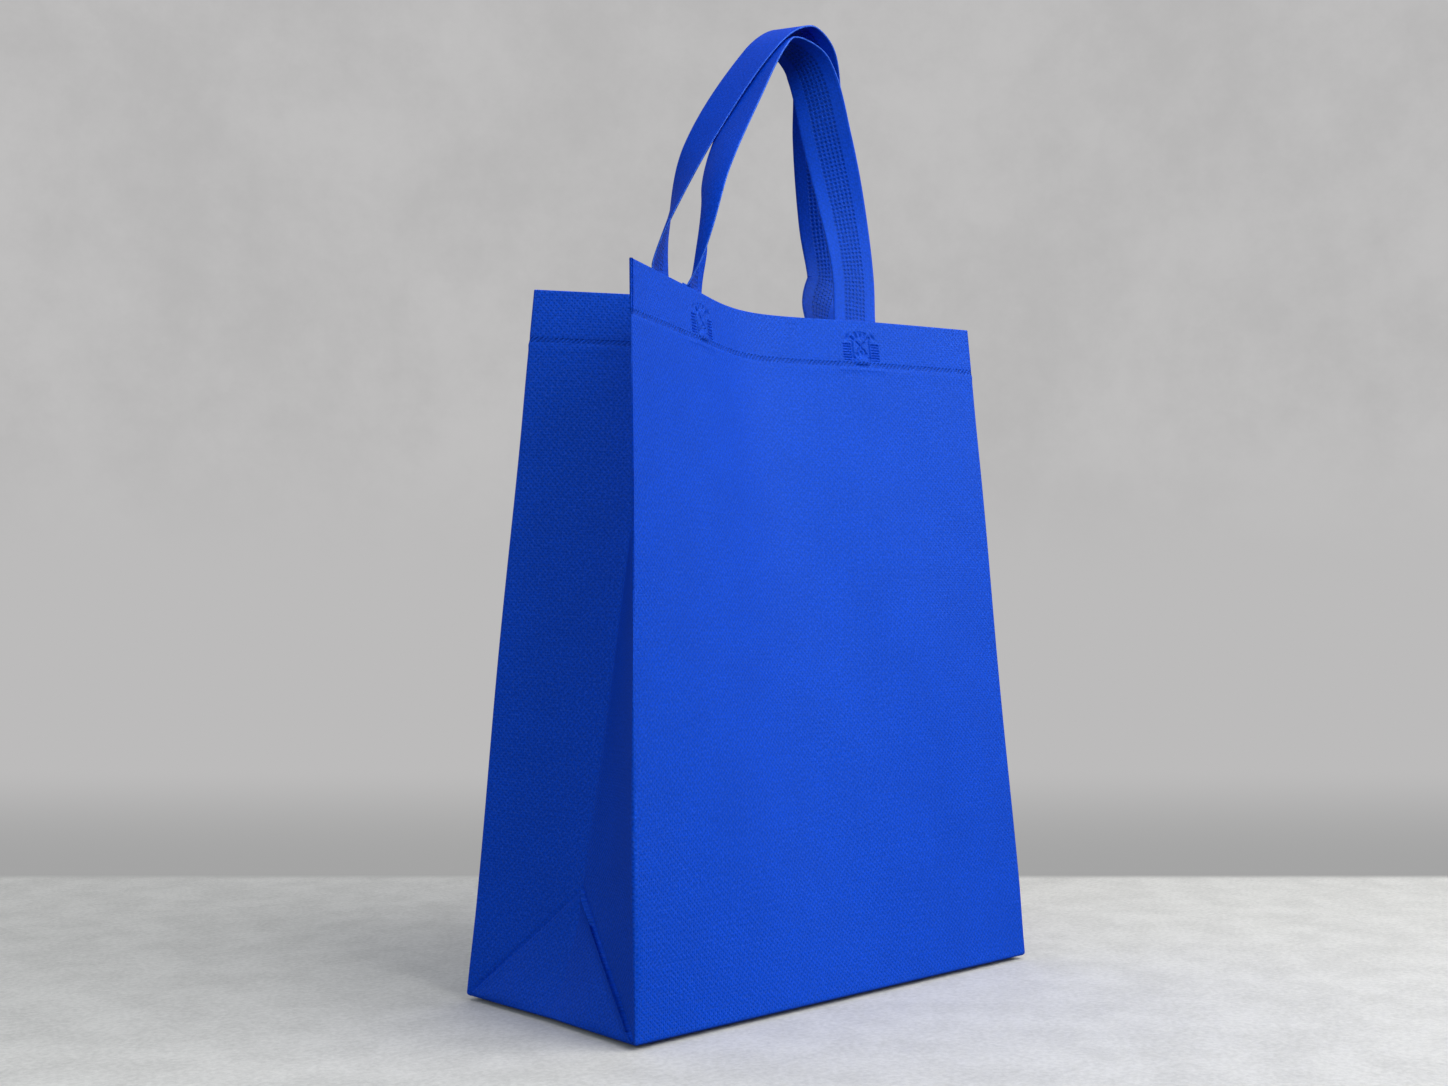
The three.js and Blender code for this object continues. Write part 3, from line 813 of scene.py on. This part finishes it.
def tube_mesh(name, ring, sides, at, runs):
    """A closed tube from rows of points. Its runs, by their numbers of points, are the inner face, an
    edge, the outer face and the other edge."""
    rows, cols = ring.shape[:2]
    faces, coordinates, materials = [], [], []
    starts = np.cumsum([0, *runs])
    for i in range(rows - 1):
        for j in range(cols):
            k = (j + 1) % cols
            faces.append((i * cols + j, i * cols + k, (i + 1) * cols + k, (i + 1) * cols + j))
            coordinates += [(sides[j], at[i], at[i]), (sides[k], at[i], at[i])]
            coordinates += [(sides[k], at[i + 1], at[i + 1]), (sides[j], at[i + 1], at[i + 1])]
            materials.append(material_number(j, starts))
    for base, order in ((0, -1), ((rows - 1) * cols, 1)):
        cap = [base + j for j in range(cols)][::order]
        faces.append(tuple(cap))
        coordinates += [(sides[j - base], 0, 0) for j in cap]
        materials.append(PLAIN)
    made = make_mesh(name, ring.reshape(-1, 3), faces, coordinates)
    made.data.polygons.foreach_set("material_index", materials)
    return made


def material_number(j, starts):
    """Which of the strap's materials a face has, by where it starts along the row. A face that joins
    two runs is plain."""
    if j < starts[1] - 1:
        return DOTTED
    if starts[1] <= j < starts[2] - 1 or starts[3] <= j < starts[4] - 1:
        return EDGE
    return PLAIN


# The welds that hold the straps to the hem


def within(value, low, high, soft=0.5):
    """1 between two values and 0 outside them, with soft ends."""
    return smooth((value - low) / soft + 0.5) * smooth((high - value) / soft + 0.5)


def weld_relief(x, below):
    """Pressed pattern of a strap weld, as a height from -1 to 1, at places in millimetres from its
    middle line and below the mouth: bars at both sides, rays and petals above, a cross, and a dome
    with short rays round it at the foot."""
    across = np.abs(x)
    striped = 0.5 + 0.5 * np.cos(2 * math.pi * below / BAR_PITCH)
    bars = within(across, *BARS_ACROSS) * within(below, *BARS_BELOW) * striped
    sides = within(across, *SIDES_ACROSS) * within(below, *SIDES_BELOW)
    rays = rays_round(across, RAY_CENTRE - below, *RAYS_REACH)
    lengthwise = (across - PETALS_ACROSS + below - PETALS_BELOW) / PETAL_LENGTH
    crosswise = (across - PETALS_ACROSS - below + PETALS_BELOW) / PETAL_WIDTH
    petals = hump(np.hypot(lengthwise, crosswise), 1)
    slanted = hump((across - np.abs(below - CROSS_CENTRE)) / CROSS_WIDTH, 1)
    cross = slanted * within(across, *CROSS_REACH)
    inside = smooth((DOME_RADIUS - np.hypot(x, below - DOME_CENTRE)) / DOME_SLOPE)
    dome = inside * smooth(DOME_CENTRE - below + 0.5)
    skirt = rays_round(across, DOME_CENTRE - below, *SKIRT_REACH)
    pressed = np.maximum.reduce([bars, SIDES_DEPTH * sides, rays, petals, cross, skirt])
    return dome - pressed * (1 - dome)


def rays_round(across, up, inner, outer):
    """Short rays round a centre, pressed between two radii of its upper half."""
    angle = np.arctan2(across, up)
    between = within(np.hypot(across, up), inner, outer)
    striped = 0.5 + 0.5 * np.cos(angle * 2 * math.pi / RAY_ANGLE)
    return between * striped * within(angle, -1, 1.25, 0.2)


def weld_patch(name, wall, side):
    """A thin skin over the panel with the pressed pattern, which sinks into the cloth at its rim."""
    across = np.linspace(-1, 1, round(PATCH_WIDTH / WELD_STEP) + 1)
    up = np.linspace(-1, 1, round(PATCH_HEIGHT / WELD_STEP) + 1)
    share = strap_share(wall, side)[1] + across * PATCH_WIDTH / 2 / PANEL_WIDTH
    below = PATCH_BELOW_MOUTH - up * PATCH_HEIGHT / 2
    x, y = np.meshgrid(across, up)
    pattern = weld_relief(x * PATCH_WIDTH / 2, PATCH_BELOW_MOUTH - y * PATCH_HEIGHT / 2)
    points = np.array([wall_point(wall, share, PANEL_HEIGHT - d) for d in below])
    normal = unit(np.cross(np.gradient(points, axis=1), np.gradient(points, axis=0)))
    rim = smooth((1 - np.maximum(np.abs(x), np.abs(y))) / PATCH_RIM_SHARE)
    lift = hem_relief(below)[:, None] - PATCH_SINK + rim * PATCH_LIFT + PATCH_RELIEF * pattern
    start = 0 if wall is front_panel else PANEL_WIDTH + GUSSET_DEPTH
    made = open_grid_mesh(name, points + normal * lift[..., None], start + share * PANEL_WIDTH, below)
    pressed = made.data.attributes.new("pressed", "FLOAT", "POINT")
    # Darker where the pattern is pressed in: partly the bonded cloth's own tone, partly painted shade
    # in the hollows
    darkness = np.clip(-PATCH_DARKNESS * pattern, 0, 1)
    pressed.data.foreach_set("value", darkness.ravel().astype(np.float32))
    return made


def open_grid_mesh(name, points, around, below):
    """A sheet from rows of points that lie on one panel."""
    rows, cols = points.shape[:2]
    faces, coordinates = [], []
    for i in range(rows - 1):
        for j in range(cols - 1):
            faces.append((i * cols + j, i * cols + j + 1, (i + 1) * cols + j + 1, (i + 1) * cols + j))
            for a, b in ((i, j), (i, j + 1), (i + 1, j + 1), (i + 1, j)):
                coordinates.append((around[b], PANEL_HEIGHT - below[a], below[a]))
    return make_mesh(name, points.reshape(-1, 3), faces, coordinates)


# Materials


class Tree:
    """Short calls for adding nodes to a material."""

    def __init__(self, tree):
        self.nodes, self.links = tree.nodes, tree.links
        self.nodes.clear()

    def add(self, kind, settings=None, **inputs):
        node = self.nodes.new(kind)
        for key, value in (settings or {}).items():
            setattr(node, key, value)
        for key, value in inputs.items():
            self.put(node.inputs[key.replace("_", " ")], value)
        return node

    def put(self, socket, value):
        if isinstance(value, bpy.types.NodeSocket):
            self.links.new(value, socket)
        else:
            socket.default_value = value

    def math(self, operation, *values):
        node = self.nodes.new("ShaderNodeMath")
        node.operation = operation
        for socket, value in zip(node.inputs, values):
            self.put(socket, value)
        return node.outputs[0]

    def range(self, value, low, high, start=0.0, end=1.0):
        node = self.nodes.new("ShaderNodeMapRange")
        node.interpolation_type = "SMOOTHSTEP"
        for socket, put in zip(node.inputs, (value, low, high, start, end)):
            self.put(socket, put)
        return node.outputs[0]

    def blend(self, share, a, b):
        node = self.nodes.new("ShaderNodeMix")
        node.data_type = "RGBA"
        self.put(node.inputs[0], share)
        self.put(node.inputs[6], a)
        self.put(node.inputs[7], b)
        return node.outputs[2]

    def uv(self, layer):
        map_node = self.add("ShaderNodeUVMap", {"uv_map": layer})
        apart = self.add("ShaderNodeSeparateXYZ", Vector=map_node.outputs[0])
        return map_node.outputs[0], apart.outputs[0], apart.outputs[1]

    def wave(self, value, pitch):
        turns = self.math("MULTIPLY", value, 2 * math.pi / (pitch * MM))
        return self.math("COSINE", turns)

    def noise(self, vector, scale, detail=2.0, roughness=0.5):
        inputs = {"Vector": vector, "Scale": scale, "Detail": detail, "Roughness": roughness}
        return self.add("ShaderNodeTexNoise", **inputs).outputs[0]

    def mix_shaders(self, share, first, second):
        node = self.add("ShaderNodeMixShader")
        for socket, value in zip(node.inputs, (share, first, second)):
            self.put(socket, value)
        return node.outputs[0]


def lattice(tree, across, up):
    """The bond points pressed into the cloth, in a diamond lattice, from 0 to 1."""
    product = tree.math("MULTIPLY", tree.wave(across, LATTICE_ACROSS), tree.wave(up, LATTICE_UP))
    return tree.range(product, 0.1, 0.9)


def hem_marks(tree, across, below):
    """Slanted pressed marks of the weld that holds the hem, from 0 to 1."""
    off = tree.math("SUBTRACT", below, HEM_HEIGHT * MM)
    full, gone = (HEM_MARK_HALF_HEIGHT - 0.4) * MM, (HEM_MARK_HALF_HEIGHT + 0.3) * MM
    band = tree.range(tree.math("ABSOLUTE", off), full, gone, 1, 0)
    slanted = tree.math("MULTIPLY_ADD", off, HEM_MARK_SLANT, across)
    marks = tree.range(tree.wave(slanted, HEM_MARK_PITCH), -0.3, 0.7)
    along = tree.add("ShaderNodeCombineXYZ", X=across, Y=off)
    worn = tree.range(tree.noise(along.outputs[0], HEM_WEAR_SCALE, 2), 0.25, 0.6, 0.3, 1)
    return tree.math("MULTIPLY", tree.math("MULTIPLY", band, marks), worn)


def side_seam(tree, across, up, below):
    """The faint row of weld points where the two ends of the cloth meet, in the right gusset."""
    place = PANEL_WIDTH + GUSSET_DEPTH - SEAM_FROM_CORNER
    off = tree.math("ABSOLUTE", tree.math("SUBTRACT", across, place * MM))
    line = tree.range(off, SEAM_FULL_WITHIN * MM, SEAM_GONE_BEYOND * MM, 1, 0)
    points = tree.range(tree.wave(up, SEAM_PITCH), -0.3, 0.6)
    on_wall = tree.range(below, (BOTTOM_BELOW_MOUTH - 1) * MM, (BOTTOM_BELOW_MOUTH + 1) * MM, 1, 0)
    return tree.math("MULTIPLY", tree.math("MULTIPLY", line, points), on_wall)


def tinted(colour, share):
    return (*[c * share for c in colour[:3]], 1.0)


def cloth_shader(tree, colour, height, darkening, vector, shine, glint_specks):
    """The satin shine and uneven dye of spun-bonded cloth over a bump of a given height in metres.
    Where it is darkened, from 0 to 1, it is darker and smoother: at pressed marks partly the bonded
    cloth's own tone and partly painted shade in their hollows, and at the worn spots of a strap's edges
    wear. The pale specks, in the given share, are painted glints of the satin sheen."""
    base = linear(colour)
    cloudy = tree.range(tree.noise(vector, DYE_SCALE, 4, 0.6), 0.3, 0.7)
    grainy = tree.range(tree.noise(vector, GRAIN_SCALE, 3, 0.6), 0.32, 0.68)
    shade = tree.blend(cloudy, tinted(base, 0.95), tinted(base, 1.05))
    shade = tree.blend(tree.math("MULTIPLY", grainy, 0.7), shade, tinted(base, 0.62))
    # Pale specks painted into the colour as glints of the satin sheen
    pale = tree.range(tree.noise(vector, GLINT_SPECK_SCALE, 5, 0.8), 0.45, 0.68)
    shade = tree.blend(tree.math("MULTIPLY", pale, glint_specks), shade, linear(GLINT_SPECK_COLOUR))
    # Darker where pressed: partly the bonded cloth's own tone, partly painted shade in the hollows;
    # darker where worn
    shade = tree.blend(tree.math("MULTIPLY", darkening, 0.65), shade, tinted(base, 0.4))
    fibres = tree.noise(vector, FIBRE_SCALE, 2, 0.7)
    rise = tree.math("MULTIPLY_ADD", fibres, FIBRE_HEIGHT * MM, height)
    bump = tree.add("ShaderNodeBump", Strength=1.0, Distance=1.0, Height=rise)
    rough = tree.range(darkening, 0, 1, 0.55, 0.42)
    surface = tree.add("ShaderNodeBsdfPrincipled", Base_Color=shade, Roughness=rough)
    tree.put(surface.inputs["Normal"], bump.outputs[0])
    surface.inputs["Specular IOR Level"].default_value = shine
    surface.inputs["Specular Tint"].default_value = SHINE_TINT
    tree.add("ShaderNodeOutputMaterial", Surface=surface.outputs[0])


def new_material(name):
    material = bpy.data.materials.new(name)
    material.use_nodes = True
    return material, Tree(material.node_tree)


def bag_material():
    material, tree = new_material("bag_fabric")
    vector, across, up = tree.uv("cloth")
    below = tree.uv("mouth")[2]
    seam = tree.math("MULTIPLY", side_seam(tree, across, up, below), SEAM_SHARE)
    marks = tree.math("MAXIMUM", hem_marks(tree, across, below), seam)
    bonds = lattice(tree, across, up)
    height = tree.math("MULTIPLY", bonds, -BOND_DEPTH * MM)
    height = tree.math("MULTIPLY_ADD", marks, -HEM_MARK_DEPTH * MM, height)
    # Pressed marks, bond points and weld patterns darken the colour: partly the bonded cloth's own
    # tone, partly painted shade in their hollows
    pressed = tree.add("ShaderNodeAttribute", {"attribute_name": "pressed"}).outputs["Fac"]
    darkening = tree.math("MAXIMUM", tree.math("MULTIPLY", marks, HEM_MARK_DARKNESS), pressed)
    darkening = tree.math("MAXIMUM", tree.math("MULTIPLY", bonds, BOND_DARKNESS), darkening)
    cloth_shader(tree, CLOTH_BLUE, height, darkening, vector, BAG_SHINE, BAG_GLINT_SPECKS)
    return material


def strap_dots(tree, across, along):
    """Rows of pressed points along the middle of a strap, from 0 to 1."""
    half = DOT_ROWS * DOT_PITCH / 2
    band = tree.range(tree.math("ABSOLUTE", across), (half - 0.3) * MM, (half + 0.1) * MM, 1, 0)
    shifted = tree.math("SUBTRACT", across, DOT_PITCH / 2 * MM)
    rows = tree.wave(shifted, DOT_PITCH)
    dots = tree.math("ADD", rows, tree.wave(along, DOT_PITCH))
    return tree.math("MULTIPLY", band, tree.range(dots, -0.1, 1.1))


def strap_material(name, depth, shine):
    """The strap's cloth, with its rows of dots pressed in by a depth in millimetres."""
    material, tree = new_material(name)
    vector, across, along = tree.uv("cloth")
    dots = strap_dots(tree, across, along)
    height = tree.math("MULTIPLY", lattice(tree, across, along), -STRAP_BOND_DEPTH * MM)
    height = tree.math("MULTIPLY_ADD", dots, -depth * MM, height)
    # The dots darken the colour: partly the bonded cloth's own tone, partly painted shade in their
    # hollows
    darkening = tree.math("MULTIPLY", dots, depth * DOT_DARKNESS)
    cloth_shader(tree, STRAP_BLUE, height, darkening, vector, shine, STRAP_GLINT_SPECKS)
    return material


def edge_material():
    """The folded and cut edges of a strap, painted paler as a highlight along them, with darker worn
    spots.
    """
    material, tree = new_material("strap_edge_highlight_and_wear")
    vector = tree.uv("cloth")[0]
    worn = tree.range(tree.noise(vector, EDGE_WEAR_SCALE, 3), 0.35, 0.65)
    height = tree.math("MULTIPLY", worn, EDGE_WEAR_HEIGHT * MM)
    darkening = tree.math("MULTIPLY", worn, EDGE_WEAR_DARKNESS)
    cloth_shader(tree, EDGE_HIGHLIGHT_BLUE, height, darkening, vector, EDGE_SHINE, EDGE_GLINT_SPECKS)
    return material


def stage_material():
    """A pale floor that keeps the shadow, and that takes the grey of a plain wall beyond a fixed line
    behind the bag, square to the line of sight of the photograph."""
    material, tree = new_material("stage")
    place = tree.add("ShaderNodeNewGeometry").outputs["Position"]
    seen = tree.add("ShaderNodeLightPath").outputs["Is Camera Ray"]
    ahead = tree.add("ShaderNodeVectorMath", {"operation": "DOT_PRODUCT"})
    tree.put(ahead.inputs[0], place)
    tree.put(ahead.inputs[1], (*CAMERA_HEADING, 0))
    distance = ahead.outputs["Value"]
    floor = floor_shader(tree, place, seen)
    start = WALL_DISTANCE * MM
    # The wall is painted darker towards its foot: painted shade where it meets the floor
    rise = tree.range(distance, start, start + WALL_SHADE_REACH * MM)
    shaded = tree.blend(rise, linear(WALL_FOOT_SHADE_GREY), linear(WALL_GREY))
    wall = tree.add("ShaderNodeEmission", Color=shaded, Strength=1.0)
    beyond = tree.range(distance, start - WALL_EDGE * MM, start + WALL_EDGE * MM)
    behind = tree.math("MULTIPLY", beyond, seen)
    both = tree.mix_shaders(behind, floor.outputs[0], wall.outputs[0])
    tree.add("ShaderNodeOutputMaterial", Surface=both)
    return material


def floor_shader(tree, place, seen):
    """The floor's mottled grey, and a darker plain grey for the light that it throws on the bag."""
    cloudy = tree.range(tree.noise(place, FLOOR_CLOUD_SCALE, 8, 0.66), 0.32, 0.68)
    speckled = tree.range(tree.noise(place, FLOOR_SPECKLE_SCALE, 4, 0.7), 0.3, 0.7)
    shade = tree.math("MULTIPLY_ADD", speckled, 0.7, tree.math("MULTIPLY", cloudy, 0.5))
    grey = linear(FLOOR_GREY)
    shown = tree.blend(shade, tinted(grey, 0.8), tinted(grey, 1.04))
    bounce = (FLOOR_BOUNCE, FLOOR_BOUNCE, FLOOR_BOUNCE, 1)
    return tree.add("ShaderNodeBsdfDiffuse", Color=tree.blend(seen, bounce, shown))


# Stage, light and camera


def make_floor():
    corners = [(x * FLOOR_SIZE, y * FLOOR_SIZE, 0) for x, y in ((-1, -1), (1, -1), (1, 1), (-1, 1))]
    floor = make_mesh("floor", corners, [(0, 1, 2, 3)], corners)
    floor.data.materials.append(stage_material())


def make_world():
    """An even fill light, and the grey that the camera sees above the floor: plain where it meets the
    floor's far end, with faint clouds higher up."""
    world = bpy.data.worlds.new("studio")
    world.use_nodes = True
    bpy.context.scene.world = world
    tree = Tree(world.node_tree)
    seen = tree.add("ShaderNodeLightPath").outputs["Is Camera Ray"]
    fill = tree.add("ShaderNodeBackground", Color=FILL_COLOUR, Strength=FILL_STRENGTH)
    direction = tree.add("ShaderNodeTexCoord").outputs["Generated"]
    wall = linear(WALL_GREY)
    clouds = tree.range(tree.noise(direction, CLOUD_SCALE, 10, 0.72), 0.3, 0.7)
    cloudy = tree.blend(clouds, tinted(wall, 0.93), tinted(wall, 1.05))
    up = tree.add("ShaderNodeSeparateXYZ", Vector=direction).outputs[2]
    shown = tree.blend(tree.range(up, 0.0, CLOUDS_START), wall, cloudy)
    back = tree.add("ShaderNodeBackground", Color=shown, Strength=1.0)
    both = tree.mix_shaders(seen, fill.outputs[0], back.outputs[0])
    tree.add("ShaderNodeOutputWorld", Surface=both)


def area_light(name, place, target, size, watts, colour):
    """A rectangular lamp at a place in metres, turned to a target."""
    lamp = bpy.data.lights.new(name, "AREA")
    lamp.shape = "RECTANGLE"
    lamp.size, lamp.size_y = size
    lamp.energy = watts
    lamp.color = colour
    made = bpy.data.objects.new(name, lamp)
    made.location = place
    made.rotation_euler = (Vector(target) - Vector(place)).to_track_quat("-Z", "Y").to_euler()
    bpy.context.scene.collection.objects.link(made)


def make_lights():
    area_light("key", (0.1, -1.75, 1.2), (0, 0, 0.3), (1.1, 1.1), 13.5, (1, 1, 0.98))
    area_light("shine", (1.1, -1.2, 1.0), (0, 0, 0.4), (0.7, 0.7), 11, (1, 1, 1))
    area_light("high", (0.2, -1.1, 1.8), (0, 0, 0.4), (1.2, 1.2), 15, (1, 1, 1))
    area_light("top", (0.1, 0.3, 2.0), (0, 0, 0.3), (1.3, 1.3), 9, (1, 1, 1))
    area_light("side", (-1.8, -0.9, 0.8), (0, 0, 0.2), (1.0, 1.0), 10.5, (0.75, 0.88, 1))


def make_camera():
    data = bpy.data.cameras.new("camera")
    data.sensor_width = SENSOR
    data.lens = FOCAL_PIXELS / PHOTO_WIDTH * SENSOR
    data.clip_start, data.clip_end = 0.01, 200
    camera = bpy.data.objects.new("camera", data)
    pitch = math.radians(CAMERA_PITCH)
    heading = Vector((*CAMERA_HEADING, 0)).normalized()
    forward = heading * math.cos(pitch) + Vector((0, 0, 1)) * math.sin(pitch)
    turned = forward.to_track_quat("-Z", "Y").to_matrix().to_4x4()
    camera.matrix_world = Matrix.Translation(Vector(CAMERA_PLACE) * MM) @ turned
    bpy.context.scene.collection.objects.link(camera)
    bpy.context.scene.camera = camera


def add_straps(materials):
    """The two straps, each in place of the part's own handle."""
    straps = []
    for name, wall, rise, loop in (
        ("strap_front", front_panel, FRONT_HANDLE_RISE, FRONT_LOOP),
        ("strap_back", back_panel, BACK_HANDLE_RISE, BACK_LOOP),
    ):
        made = strap(name, wall, rise, loop)
        for material in materials:
            made.data.materials.append(material)
        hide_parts(name.replace("strap", "handle"))
        straps.append(made)
    return straps


def add_welds(material):
    """The four pressed patches where the straps are welded to the panels."""
    patches = []
    for face, wall in (("front", front_panel), ("back", back_panel)):
        for hand, side in (("left", -1), ("right", 1)):
            patch = weld_patch(f"weld_{face}_{hand}", wall, side)
            patch.data.materials.append(material)
            patches.append(patch)
    return patches


def dress():
    """Every piece of the bag, riding on the part's one body."""
    blue = bag_material()
    plain = strap_material("strap_fabric", OUTER_DOT_DEPTH, STRAP_OUTER_SHINE)
    dotted = strap_material("strap_fabric_pressed", INNER_DOT_DEPTH, STRAP_INNER_SHINE)
    rim = edge_material()
    cloth = bag_cloth()
    cloth.data.materials.append(blue)
    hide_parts("bag_body")
    straps = add_straps((plain, dotted, rim))
    welds = add_welds(blue)
    for piece in (cloth, *straps, *welds):
        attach(piece, "root")


bpy.context.scene.view_settings.view_transform = "Standard"
make_camera()
dress()
make_floor()
make_world()
make_lights()
